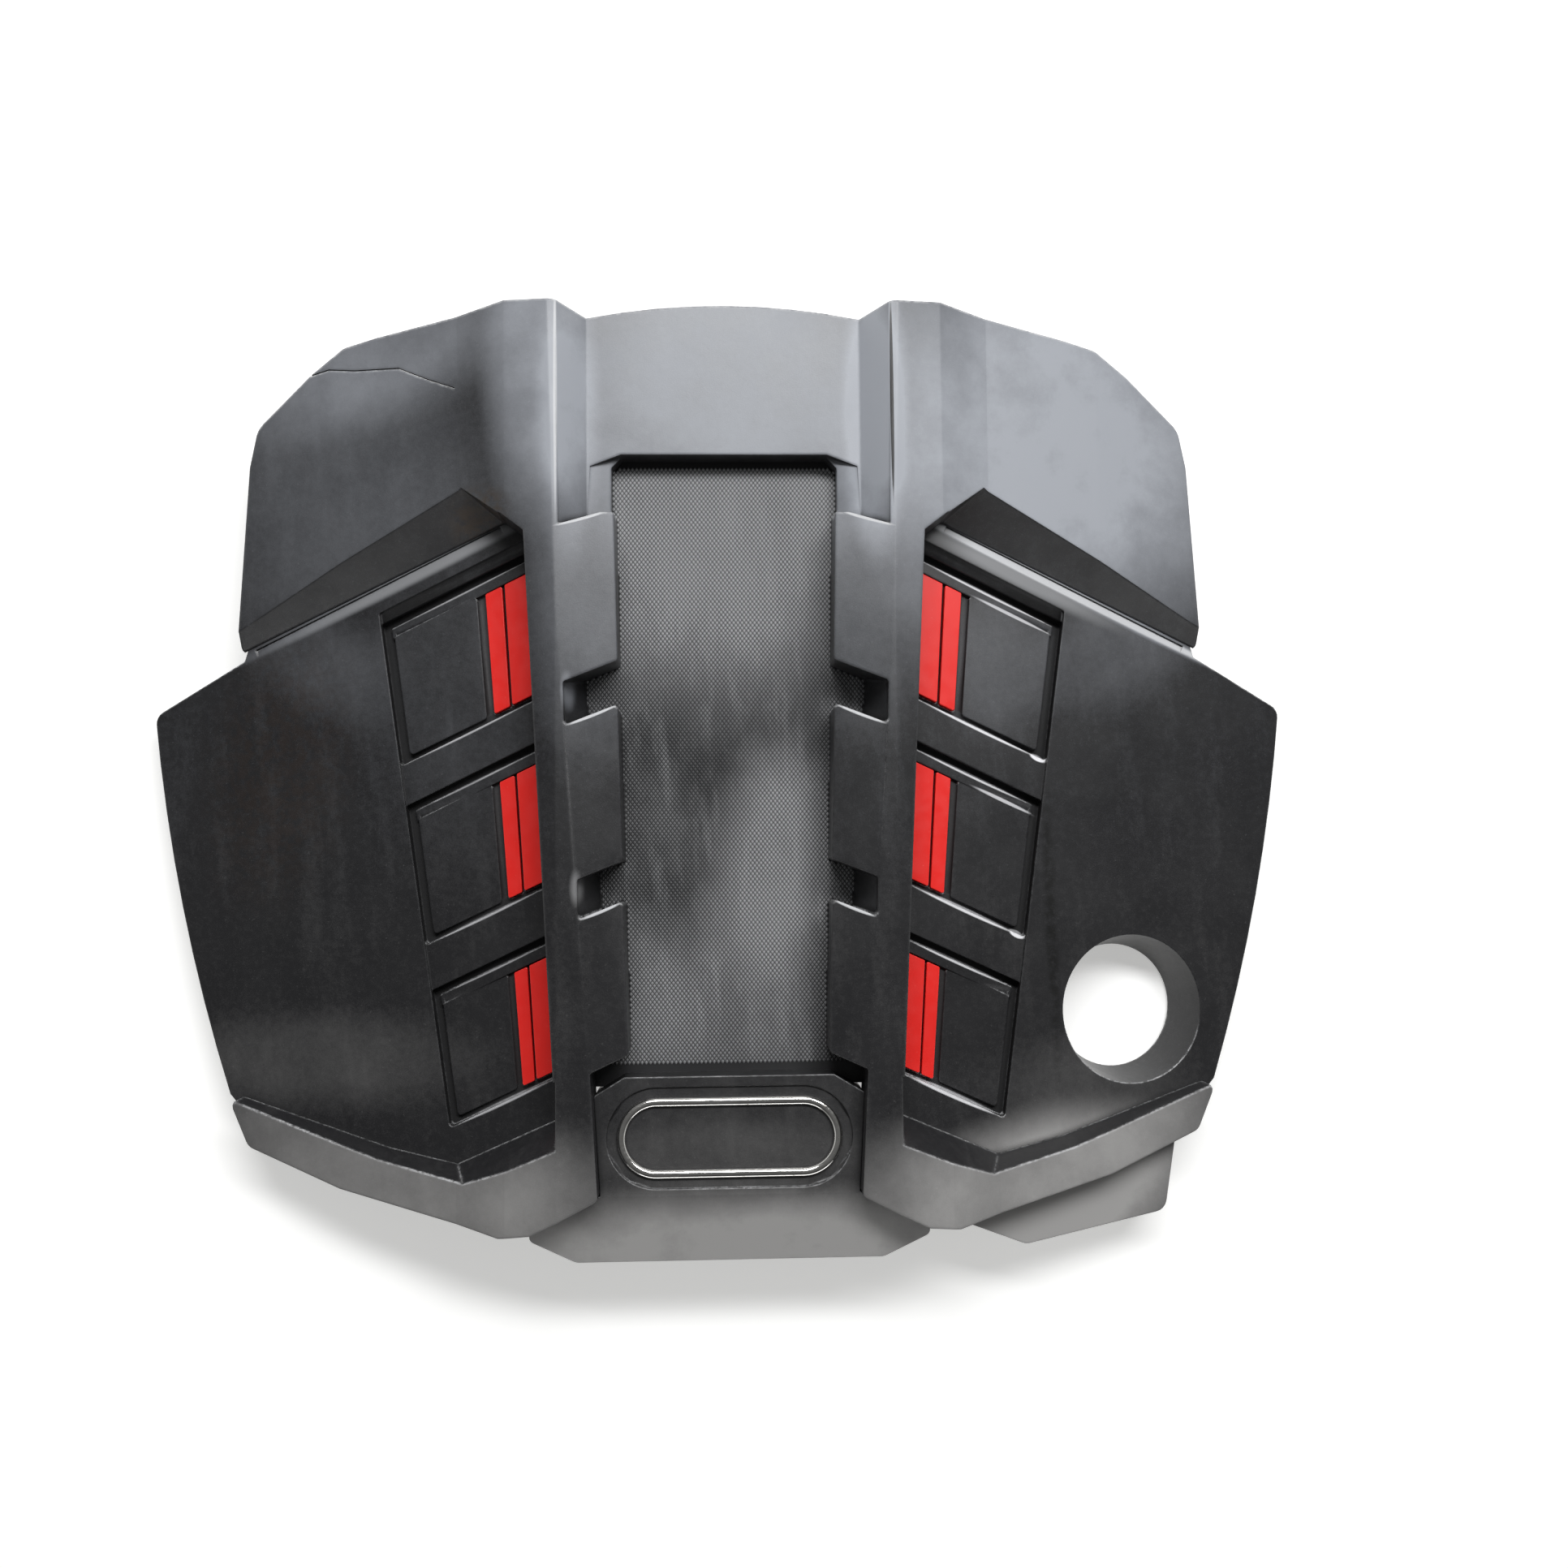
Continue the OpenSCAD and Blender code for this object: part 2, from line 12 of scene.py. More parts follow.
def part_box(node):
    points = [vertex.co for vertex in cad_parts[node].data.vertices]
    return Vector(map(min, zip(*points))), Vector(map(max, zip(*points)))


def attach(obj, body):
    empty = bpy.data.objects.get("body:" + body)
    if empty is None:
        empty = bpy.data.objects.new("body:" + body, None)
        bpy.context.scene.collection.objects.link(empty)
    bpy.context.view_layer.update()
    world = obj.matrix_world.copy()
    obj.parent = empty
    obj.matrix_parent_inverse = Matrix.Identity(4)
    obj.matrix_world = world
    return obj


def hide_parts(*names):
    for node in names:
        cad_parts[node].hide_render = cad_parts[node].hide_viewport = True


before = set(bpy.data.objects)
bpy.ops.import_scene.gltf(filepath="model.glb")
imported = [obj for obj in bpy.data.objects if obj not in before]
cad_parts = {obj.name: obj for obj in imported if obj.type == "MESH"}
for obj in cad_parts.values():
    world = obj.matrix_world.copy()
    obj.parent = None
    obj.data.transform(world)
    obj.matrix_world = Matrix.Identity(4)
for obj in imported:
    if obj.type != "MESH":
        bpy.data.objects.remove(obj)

bl_info = {
    "name": "Engine Cover Dressing",
    "version": (1, 0, 0),
    "blender": (4, 5, 0),
    "location": "3D View > Sidebar > Cover",
    "description": "Dresses the packed engine cover with shells, grain, bars, sockets, foam and a stage",
    "category": "Object",
}

BODY = "root"
PANEL_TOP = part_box("centre_panel")[1].z
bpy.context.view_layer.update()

# Angles between two faces, in degrees: joined below the first, left sharp or rounded above the others
FLAT_BELOW = 0.6
SHELL_SHARP = 6
CURVED_SHARP = 50
BEVEL_ABOVE = 35

# Lengths in metres
MERGE_REACH = 2e-6
SOCKET_EDGE = 0.0005
GRAIN_SINK = 0.00003
FLOOR_DROP = 0.0002

# Colours that no setting changes
# The haze colour towards the front: partly dust, partly painted sheen from the light in front
FRONT_HAZE_AND_SHEEN = (0.37, 0.365, 0.36)
# Painted shade in the grooves
GROOVE_SHADE = (0.004, 0.004, 0.0045)
PANEL_TOP_PALE = (0.37, 0.375, 0.385)
WARM_WHITE = (1.0, 1.0, 0.985, 1.0)


class CoverColours(bpy.types.PropertyGroup):
    plastic: bpy.props.FloatVectorProperty(
        name="Plastic",
        description="Colour of the moulded plastic where it is clean",
        subtype="COLOR",
        size=3,
        min=0.0,
        max=1.0,
        default=(0.014, 0.014, 0.0155),
    )
    # The haze colour is partly dust and partly painted sheen on the faces that catch the light
    haze_and_sheen: bpy.props.FloatVectorProperty(
        name="Haze",
        description="Colour of the dusty haze on the parts nearest the bonnet",
        subtype="COLOR",
        size=3,
        min=0.0,
        max=1.0,
        default=(0.35, 0.368, 0.405),
    )
    worn: bpy.props.FloatVectorProperty(
        name="Worn edge",
        description="Colour of the plastic along its rubbed edges",
        subtype="COLOR",
        size=3,
        min=0.0,
        max=1.0,
        default=(0.14, 0.142, 0.15),
    )
    # Partly scuffs and partly painted highlight on the edges that look to the rear, towards the lamp
    pale_scuff_and_highlight: bpy.props.FloatVectorProperty(
        name="Scuffed edge",
        description="Colour of the edges towards the windscreen, which are scuffed the most",
        subtype="COLOR",
        size=3,
        min=0.0,
        max=1.0,
        default=(0.60, 0.605, 0.62),
    )
    bars: bpy.props.FloatVectorProperty(
        name="Bars",
        description="Colour of the red bars",
        subtype="COLOR",
        size=3,
        min=0.0,
        max=1.0,
        default=(0.88, 0.022, 0.017),
    )
    chrome: bpy.props.FloatVectorProperty(
        name="Chrome",
        description="Colour of the plated ring",
        subtype="COLOR",
        size=3,
        min=0.0,
        max=1.0,
        default=(0.8, 0.79, 0.77),
    )
    rubber: bpy.props.FloatVectorProperty(
        name="Rubber",
        description="Colour of the ball sockets",
        subtype="COLOR",
        size=3,
        min=0.0,
        max=1.0,
        default=(0.02, 0.02, 0.021),
    )
    foam: bpy.props.FloatVectorProperty(
        name="Foam",
        description="Colour of the foam pad",
        subtype="COLOR",
        size=3,
        min=0.0,
        max=1.0,
        default=(0.045, 0.045, 0.048),
    )


class CoverSizes(bpy.types.PropertyGroup):
    edge: bpy.props.FloatProperty(
        name="Edge",
        description="Radius of the edges of the wings and the badge panel",
        subtype="DISTANCE",
        unit="LENGTH",
        min=0.0002,
        max=0.002,
        default=0.0013,
    )
    rim: bpy.props.FloatProperty(
        name="Rim",
        description="Radius of the frame's edges",
        subtype="DISTANCE",
        unit="LENGTH",
        min=0.001,
        max=0.005,
        default=0.0022,
    )
    bar_edge: bpy.props.FloatProperty(
        name="Bar edge",
        description="Width of the rounded edge on the red bars",
        subtype="DISTANCE",
        unit="LENGTH",
        min=0.0001,
        max=0.001,
        default=0.00045,
    )
    ring_bar: bpy.props.FloatProperty(
        name="Ring bar",
        description="Width of the chrome ring's bar",
        subtype="DISTANCE",
        unit="LENGTH",
        min=0.003,
        max=0.008,
        default=0.005,
    )
    grain_across: bpy.props.FloatProperty(
        name="Grain across",
        description="Distance from one grain to the next across the centre panel",
        subtype="DISTANCE",
        unit="LENGTH",
        min=0.0015,
        max=0.005,
        default=0.0025,
    )
    grain_row: bpy.props.FloatProperty(
        name="Grain row",
        description="Distance from one row of grains to the next",
        subtype="DISTANCE",
        unit="LENGTH",
        min=0.001,
        max=0.004,
        default=0.0016,
    )
    grain_height: bpy.props.FloatProperty(
        name="Grain height",
        description="Height of a grain above the centre panel",
        subtype="DISTANCE",
        unit="LENGTH",
        min=0.0001,
        max=0.001,
        default=0.00045,
    )
    foam_round: bpy.props.FloatProperty(
        name="Foam rounding",
        description="How far the foam's edges are pressed in",
        subtype="DISTANCE",
        unit="LENGTH",
        min=0.001,
        max=0.008,
        default=0.005,
    )


class StageSettings(bpy.types.PropertyGroup):
    floor: bpy.props.FloatProperty(
        name="Floor",
        description="Width of the floor",
        subtype="DISTANCE",
        unit="LENGTH",
        min=2.0,
        max=60.0,
        default=30.0,
    )
    rear_light: bpy.props.FloatProperty(
        name="Rear light",
        description="Power of the wide soft light behind the cover",
        subtype="POWER",
        unit="POWER",
        min=0.0,
        max=500.0,
        default=48.0,
    )
    front_light: bpy.props.FloatProperty(
        name="Front light",
        description="Power of the low soft light in front of the cover",
        subtype="POWER",
        unit="POWER",
        min=0.0,
        max=500.0,
        default=9.0,
    )


class Shader:
    """A material on the object's own coordinates, with short words for its nodes."""

    def __init__(self, name):
        self.material = bpy.data.materials.new(name)
        self.material.use_nodes = True
        self.tree = self.material.node_tree
        self.tree.nodes.clear()
        output = self.tree.nodes.new("ShaderNodeOutputMaterial")
        self.surface = self.tree.nodes.new("ShaderNodeBsdfPrincipled")
        self.tree.links.new(self.surface.outputs["BSDF"], output.inputs["Surface"])
        self.place = self.tree.nodes.new("ShaderNodeTexCoord").outputs["Object"]

    def feed(self, socket, value):
        """Links value to the socket where it is a socket too, and sets it there otherwise."""
        if isinstance(value, bpy.types.NodeSocket):
            self.tree.links.new(value, socket)
        elif socket.type == "RGBA":
            socket.default_value = (*value[:3], 1.0)
        else:
            socket.default_value = value

    def math(self, operation, a, b=0.0):
        node = self.tree.nodes.new("ShaderNodeMath")
        node.operation = operation
        self.feed(node.inputs[0], a)
        self.feed(node.inputs[1], b)
        return node.outputs[0]

    def moved(self, centre=(0, 0, 0), turn=0.0, scale=(1, 1, 1)):
        """The place seen from centre, turned and divided by scale."""
        node = self.tree.nodes.new("ShaderNodeMapping")
        node.vector_type = "TEXTURE"
        self.feed(node.inputs["Vector"], self.place)
        node.inputs["Location"].default_value = centre
        node.inputs["Rotation"].default_value = (0, 0, math.radians(turn))
        node.inputs["Scale"].default_value = scale
        return node.outputs["Vector"]

    def noise(self, size, detail=3.0, rough=0.5, stretch=(1, 1, 1), turn=0.0):
        """Cloudy noise whose lumps are about size across."""
        node = self.tree.nodes.new("ShaderNodeTexNoise")
        self.feed(node.inputs["Vector"], self.moved(turn=turn, scale=stretch))
        node.inputs["Scale"].default_value = 1.0 / size
        node.inputs["Detail"].default_value = detail
        node.inputs["Roughness"].default_value = rough
        return node.outputs["Fac"]

    def cells(self, size):
        """How far each place is from the middle of its cell, for cells about size across."""
        node = self.tree.nodes.new("ShaderNodeTexVoronoi")
        self.feed(node.inputs["Vector"], self.place)
        node.inputs["Scale"].default_value = 1.0 / size
        return node.outputs["Distance"]

    def ramp(self, value, low, high, to_low=0.0, to_high=1.0):
        """A smooth step from to_low to to_high while value goes from low to high."""
        node = self.tree.nodes.new("ShaderNodeMapRange")
        node.interpolation_type = "SMOOTHSTEP"
        self.feed(node.inputs["Value"], value)
        node.inputs["From Min"].default_value = low
        node.inputs["From Max"].default_value = high
        node.inputs["To Min"].default_value = to_low
        node.inputs["To Max"].default_value = to_high
        return node.outputs["Result"]

    def mix(self, factor, a, b):
        node = self.tree.nodes.new("ShaderNodeMix")
        node.data_type = "RGBA"
        self.feed(node.inputs[0], factor)
        self.feed(node.inputs[6], a)
        self.feed(node.inputs[7], b)
        return node.outputs[2]

    def patch(self, centre, size, turn=0.0, strength=1.0):
        """A soft patch that fades from its centre to size on either side. Its long axis is turned
        about the vertical, and a strength above 1 gives it a sharper rim where it is mixed in."""
        length = self.tree.nodes.new("ShaderNodeVectorMath")
        length.operation = "LENGTH"
        place = self.moved((*centre, 0.0), turn, (*size, 1e3))
        self.feed(length.inputs[0], place)
        return self.ramp(length.outputs["Value"], 1.0, 0.25, 0.0, strength)

    def together(self, values):
        """The sum of the values."""
        total = values[0]
        for value in values[1:]:
            total = self.math("ADD", total, value)
        return total

    def part(self, kind, axis):
        """One number of the object's own place ("Object") or of the way its face looks ("Normal")."""
        source = self.tree.nodes.new("ShaderNodeTexCoord")
        return self.axis(source.outputs[kind], axis)

    def axis(self, vector, axis):
        node = self.tree.nodes.new("ShaderNodeSeparateXYZ")
        self.feed(node.inputs[0], vector)
        return node.outputs[axis]

    def rounding(self, radius):
        """The surface's direction with its edges rounded over radius."""
        node = self.tree.nodes.new("ShaderNodeBevel")
        node.samples = 6
        node.inputs["Radius"].default_value = radius
        return node.outputs["Normal"]

    def rubbing(self, rounded):
        """1 along the edges, where the rounded direction leaves the flat one, and 0 elsewhere."""
        flat = self.tree.nodes.new("ShaderNodeNewGeometry").outputs["Normal"]
        node = self.tree.nodes.new("ShaderNodeVectorMath")
        node.operation = "DOT_PRODUCT"
        self.feed(node.inputs[0], rounded)
        self.feed(node.inputs[1], flat)
        return self.ramp(node.outputs["Value"], 0.99, 0.92)

    def openness(self, reach):
        """1 on open faces, and less in the corners and grooves within reach."""
        node = self.tree.nodes.new("ShaderNodeAmbientOcclusion")
        node.samples = 8
        node.inputs["Distance"].default_value = reach
        return node.outputs["AO"]

    def bumps(self, *layers, normal=None):
        """Bump layers one on another: pairs of a height and its depth in metres."""
        for height, depth in layers:
            node = self.tree.nodes.new("ShaderNodeBump")
            node.inputs["Distance"].default_value = depth
            self.feed(node.inputs["Height"], height)
            if normal is not None:
                self.tree.links.new(normal, node.inputs["Normal"])
            normal = node.outputs["Normal"]
        self.tree.links.new(normal, self.surface.inputs["Normal"])

    def finish(self, colour, roughness, **plain):
        """Feeds the surface and returns the material; plain holds other inputs and their values."""
        self.feed(self.surface.inputs["Base Color"], colour)
        self.feed(self.surface.inputs["Roughness"], roughness)
        for name, value in plain.items():
            self.surface.inputs[name.replace("_", " ")].default_value = value
        return self.material


def moulded_plastic(name, colours, looks, edge, gloss=0.34):
    """Black moulded plastic: a fine spark texture, smears, rubbed edges, haze, dust, stains and
    thin lines. Haze lies on every face of its patches, and dust only where a face looks up. The haze
    and dust are partly painted sheen, the edges that look to the rear carry a painted highlight,
    and the grooves and some lines are painted shade."""
    s = Shader(name)
    fine = s.noise(0.0007, 2.0, 0.6)
    cloud = s.noise(0.045, 5.0, 0.62)
    wiped = s.noise(0.03, 4.0, 0.6, (0.5, 3.0, 1.0), 6.0)
    specks = s.ramp(s.noise(0.0016, 1.0, 0.5), 0.70, 0.78, 0.0, 0.06)

    # The haze and dust, partly dust and partly painted sheen: uneven, specked, and thinner in the
    # grooves
    haze_and_sheen = s.together([s.patch(*p) for p in looks["haze_and_sheen"]])
    # Faces that look to the front lose their haze: painted shade on the sides turned away from the rear
    # light
    if looks.get("shade_fronts"):
        haze_and_sheen = s.math("MULTIPLY", haze_and_sheen, s.ramp(s.part("Normal", "Y"), -0.6, -0.3))
    # Dust on faces that look up; on the rear right panel and the front legs it is partly painted sheen
    dust = s.together([s.patch(*p) for p in looks["dust"]])
    dust_haze_and_sheen = s.math("ADD", haze_and_sheen, s.math("MULTIPLY", dust, s.ramp(s.part("Normal", "Z"), 0.80, 0.93)))
    amount = s.math("MULTIPLY", dust_haze_and_sheen, s.ramp(cloud, 0.25, 0.7, 0.78, 1.08))
    amount = s.math("ADD", amount, s.ramp(wiped, 0.45, 0.75, 0.0, 0.035))
    amount = s.math("ADD", amount, specks)
    amount = s.math("ADD", amount, s.ramp(fine, 0.3, 0.7, -0.018, 0.018))
    amount = s.math("ADD", amount, s.ramp(s.noise(0.004, 3.0, 0.6), 0.3, 0.7, -0.012, 0.016))
    amount = s.math("MINIMUM", s.math("MAXIMUM", amount, 0.0), 1.0)
    # Ambient occlusion of the grooves, used below for painted shade
    groove_shade = s.ramp(s.openness(0.010), 0.78, 0.42)
    amount = s.math("MULTIPLY", amount, s.ramp(groove_shade, 0, 1, 1.0, 0.1))
    haze_and_sheen_colour = s.mix(s.ramp(s.part("Object", "Y"), -0.12, 0.04), FRONT_HAZE_AND_SHEEN, colours.haze_and_sheen)
    tone = s.mix(amount, colours.plastic, haze_and_sheen_colour)

    # Stains with ragged edges, one of them painted shade, then thin lines of painted highlight and
    # shade, then painted shade in the grooves over all of them
    for colour, *patch in looks["stains_and_shade"]:
        ragged = s.math("MULTIPLY", s.patch(*patch), s.ramp(s.noise(0.006, 4.0, 0.6), 0.35, 0.6))
        tone = s.mix(ragged, tone, colour)
    for colour, *patch in looks.get("lines", ()):
        tone = s.mix(s.patch(*patch), tone, colour)
    tone = s.mix(s.ramp(groove_shade, 0, 1, 0.0, 0.7), tone, GROOVE_SHADE)

    # Rounded edges, rubbed in broken runs, with a painted highlight that makes them palest where they
    # look to the rear
    rounded = s.rounding(edge)
    uneven = s.ramp(s.noise(0.02, 4.0, 0.65), 0.3, 0.7, 0.35 * looks["wear_and_highlight"], looks["wear_and_highlight"])
    uneven = s.math("MULTIPLY", uneven, s.ramp(s.noise(0.0028, 3.0, 0.65), 0.36, 0.6, 0.25, 1.4))
    # How much an edge looks to the rear, where the painted highlight is brightest
    rearward = s.ramp(s.axis(rounded, "Y"), 0.02, 0.3)
    wear_and_highlight = s.rubbing(s.rounding(1.6 * edge))
    rubbed_and_lit = s.math("MULTIPLY", wear_and_highlight, s.math("MULTIPLY", uneven, s.ramp(rearward, 0, 1, 0.15, 1.0)))
    tone = s.mix(rubbed_and_lit, tone, s.mix(rearward, colours.worn, colours.pale_scuff_and_highlight))

    # Haze, painted sheen and the grooves in painted shade are duller than clean plastic
    rough = s.ramp(cloud, 0.3, 0.7, gloss - 0.04, gloss + 0.05)
    rough = s.math("ADD", rough, s.math("MULTIPLY", amount, 0.1))
    rough = s.math("ADD", rough, s.math("MULTIPLY", groove_shade, 0.45))
    s.bumps((fine, 0.00005), (s.noise(0.012, 2.0), 0.00006), normal=rounded)
    return s.finish(tone, rough, Specular_IOR_Level=0.5)


def painted_red(name, colour):
    """Red semi-gloss plastic with dust specks and faint scuffs."""
    s = Shader(name)
    dust = s.ramp(s.noise(0.0012, 2.0, 0.6), 0.68, 0.78, 0.0, 0.35)
    faded = s.ramp(s.noise(0.02, 3.0, 0.5, (0.6, 2.5, 1.0)), 0.35, 0.7, 0.0, 0.16)
    deep = tuple(0.72 * c for c in colour)
    pale = (0.85, 0.25, 0.20)
    tone = s.mix(faded, colour, deep)
    tone = s.mix(dust, tone, pale)
    s.bumps((s.noise(0.0009, 2.0), 0.000012))
    return s.finish(tone, s.ramp(s.noise(0.008, 3.0), 0.3, 0.7, 0.30, 0.42), Specular_IOR_Level=0.5)


def plated(name, colour):
    """Chrome plating with wipe marks and small dull pits."""
    s = Shader(name)
    pits = s.ramp(s.noise(0.0018, 2.0, 0.6), 0.66, 0.74)
    wiped = s.noise(0.004, 4.0, 0.6, (3.0, 0.5, 1.0), 20.0)
    tone = s.mix(pits, colour, (0.24, 0.21, 0.18))
    rough = s.math("ADD", s.ramp(wiped, 0.3, 0.75, 0.10, 0.24), s.math("MULTIPLY", pits, 0.35))
    s.bumps((s.noise(0.0025, 2.0), 0.00002))
    return s.finish(tone, rough, Metallic=1.0)


def soft_rubber(name, colour):
    """Matte rubber with mould bloom."""
    s = Shader(name)
    bloom = s.ramp(s.noise(0.004, 4.0, 0.6), 0.4, 0.75, 0.0, 0.5)
    pale = tuple(min(1.0, 3.2 * c) for c in colour)
    s.bumps((s.noise(0.0005, 2.0), 0.00004))
    rough = s.ramp(bloom, 0, 0.5, 0.55, 0.75)
    return s.finish(s.mix(bloom, colour, pale), rough, Specular_IOR_Level=0.4)


def open_foam(name, colour):
    """Open-celled foam: pits in painted shade between pale cell walls."""
    s = Shader(name)
    pits = s.ramp(s.cells(0.0014), 0.15, 0.6)
    cloud = s.noise(0.02, 4.0, 0.6)
    pit_shade = tuple(0.35 * c for c in colour)
    tone = s.mix(pits, pit_shade, s.mix(s.ramp(cloud, 0.3, 0.7), colour, tuple(1.5 * c for c in colour)))
    s.bumps((pits, 0.0006), (cloud, 0.0005))
    return s.finish(tone, s.ramp(pits, 0, 1, 0.9, 0.8), Specular_IOR_Level=0.2)


def grained_plastic(name, colour):
    """Plastic of the centre panel: dark between the grains, paler on their tops, most at the rear."""
    s = Shader(name)
    cloud = s.noise(0.05, 5.0, 0.62, (0.8, 1.5, 1.0), 8.0)
    wipes = s.noise(0.02, 4.0, 0.6, (0.5, 3.0, 1.0), 4.0)
    rear = s.patch((0.0, 0.165), (0.16, 0.165), 0.0, 0.34)
    wiped = s.patch((0.03, -0.045), (0.055, 0.09), -12.0, 0.30)
    front = s.patch((-0.01, -0.13), (0.12, 0.08), 0.0, 0.16)
    tops = s.ramp(s.part("Object", "Z"), PANEL_TOP + 0.00015, PANEL_TOP + 0.00040, 0.0, 2.8)
    clouded = s.ramp(cloud, 0.35, 0.7, 0.03, 0.13)
    streaked = s.ramp(wipes, 0.5, 0.75, 0.0, 0.09)
    amount = s.together([rear, wiped, front, clouded, streaked])
    tone = s.mix(s.math("MULTIPLY", amount, tops), colour, PANEL_TOP_PALE)
    s.bumps((s.noise(0.0005, 2.0), 0.00002))
    return s.finish(tone, s.ramp(cloud, 0.3, 0.7, 0.38, 0.52), Specular_IOR_Level=0.5)


def new_piece(name, mesh, replaced=(), materials=()):
    """Puts a finished mesh in the scene, riding on the cover."""
    piece = bpy.data.objects.new(name, mesh)
    bpy.context.scene.collection.objects.link(piece)
    for material in materials:
        mesh.materials.append(material)
    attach(piece, BODY)
    if replaced:
        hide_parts(*replaced)
    return piece


def merged(node, joined):
    """A copy of a CAD node's mesh with its points merged, and its flat faces joined if asked."""
    bm = bmesh.new()
    bm.from_mesh(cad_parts[node].data)
    bmesh.ops.remove_doubles(bm, verts=bm.verts, dist=MERGE_REACH)
    if joined:
        flat = math.radians(FLAT_BELOW)
        bmesh.ops.dissolve_limit(bm, angle_limit=flat, verts=bm.verts, edges=bm.edges)
    bm.normal_update()
    return bm


def dressed_copy(node, name, material, edge=None):
    """A copy of a CAD node with merged points and smooth curves; it takes the node's place.
    Its sharp edges are also rounded where edge gives their width."""
    bm = merged(node, edge is not None)
    mesh = bpy.data.meshes.new(name)
    bm.to_mesh(mesh)
    bm.free()
    if edge is not None:
        rough = bpy.data.objects.new(name + "_rough", mesh)
        bpy.context.scene.collection.objects.link(rough)
        bevel = rough.modifiers.new("Rounding", "BEVEL")
        bevel.limit_method = "ANGLE"
        bevel.angle_limit = math.radians(BEVEL_ABOVE)
        bevel.width = edge
        bevel.segments = 2
        bevel.use_clamp_overlap = False
        graph = bpy.context.evaluated_depsgraph_get()
        rounded = bpy.data.meshes.new_from_object(rough.evaluated_get(graph), depsgraph=graph)
        bpy.data.objects.remove(rough)
        bpy.data.meshes.remove(mesh)
        mesh = rounded
        mesh.name = name
    mesh.shade_smooth()
    mesh.set_sharp_from_angle(angle=math.radians(SHELL_SHARP))
    return new_piece(name, mesh, (node,), (material,))


# The lips in front of the notches, painted pale as highlight and scuff: x and y of the middle, half
# length, turn in degrees
NOTCH_LIPS = [
    (0.0833, 0.1497, 0.018, 16.5),
    (0.0777, 0.0355, 0.017, 22.0),
    (0.0727, -0.0765, 0.014, 22.0),
]

# The turn of the edges of the bays, in degrees
BAY_SLANT = 25.0
# The edges of the bays that catch the light, given painted highlights: x and y of the middle, half
# length
BAY_LIPS = [(0.1536, 0.0302, 0.0443), (0.1433, -0.0795, 0.0387), (0.1329, -0.1892, 0.0331)]
LEDGE_LIPS = [(0.1592, 0.1146, 0.0474), (0.1489, 0.0019, 0.0420), (0.1386, -0.1108, 0.0366)]
PAD_LIPS = [(0.1762, 0.1007, 0.0310), (0.1687, -0.0133, 0.0250)]
SCUFFED_AND_LIT_ENDS = [(0.1905, 0.0128, 0.0065), (0.1752, -0.0944, 0.0060)]


def pale_lines(side, edges, tone, half_width, strength):
    """Pale lines of painted highlight along edges of the left (-1) or the right (1) side, for the looks
    of its wing.
    """
    return [
        ((tone, tone, 1.04 * tone), (side * x, y), (length, half_width), -side * BAY_SLANT, strength)
        for x, y, length in edges
    ]


# Patches of the finish and of painted light and shade: place of the middle, half sizes, turn in degrees,
# strength
FRAME_LOOKS = {
    "shade_fronts": True,
    "wear_and_highlight": 0.75,
    # Haze, partly dust and partly painted sheen where the faces catch the light; the two small patches
    # paint the lit walls of the left notches
    "haze_and_sheen": [
        ((0.0, 0.235), (0.15, 0.15), 0.0, 0.78),
        ((-0.116, 0.235), (0.032, 0.11), 3.0, 0.50),
        ((0.089, 0.215), (0.022, 0.11), 0.0, 0.95),
        ((-0.091, 0.215), (0.022, 0.11), 0.0, 0.60),
        ((-0.0915, 0.0500), (0.0045, 0.014), 0.0, 0.5),
        ((-0.0865, -0.0630), (0.0045, 0.013), 0.0, 0.45),
        ((0.118, 0.15), (0.03, 0.13), 0.0, 0.18),
    ],
    # Dust, and painted sheen on the bright rear right panel and the front legs
    "dust": [
        ((0.205, 0.205), (0.16, 0.17), 25.0, 1.0),
        ((-0.20, 0.255), (0.13, 0.05), 18.0, 0.40),
        ((-0.225, 0.17), (0.13, 0.13), 0.0, 0.17),
        ((0.078, 0.12), (0.05, 0.12), 0.0, 0.22),
        ((-0.079, 0.11), (0.049, 0.13), 0.0, 0.26),
        ((0.20, -0.225), (0.15, 0.08), 18.0, 0.80),
        ((-0.20, -0.225), (0.15, 0.08), -18.0, 0.52),
        ((-0.10, -0.245), (0.06, 0.06), 0.0, 0.30),
        ((0.10, -0.245), (0.06, 0.06), 0.0, 0.30),
    ],
    "stains_and_shade": [((0.045, 0.028, 0.014), (-0.145, 0.155), (0.025, 0.02), 20.0, 0.8)],
    "lines": [
        # Painted shade on the step beside the right spine, and a painted highlight on the same step
        # beside the left one
        ((0.005, 0.005, 0.006), (0.0980, 0.220), (0.0012, 0.068), 0.0, 4.0),
        ((0.55, 0.56, 0.58), (-0.0975, 0.225), (0.0014, 0.085), 0.0, 1.6),
        # Painted highlights, partly scuffs, along the notch lips that look to the rear
        *[
            ((0.56, 0.57, 0.59), (side * x, y), (length, 0.0014), -side * turn, 2.2)
            for side in (-1, 1)
            for x, y, length, turn in NOTCH_LIPS
        ],
    ],
}
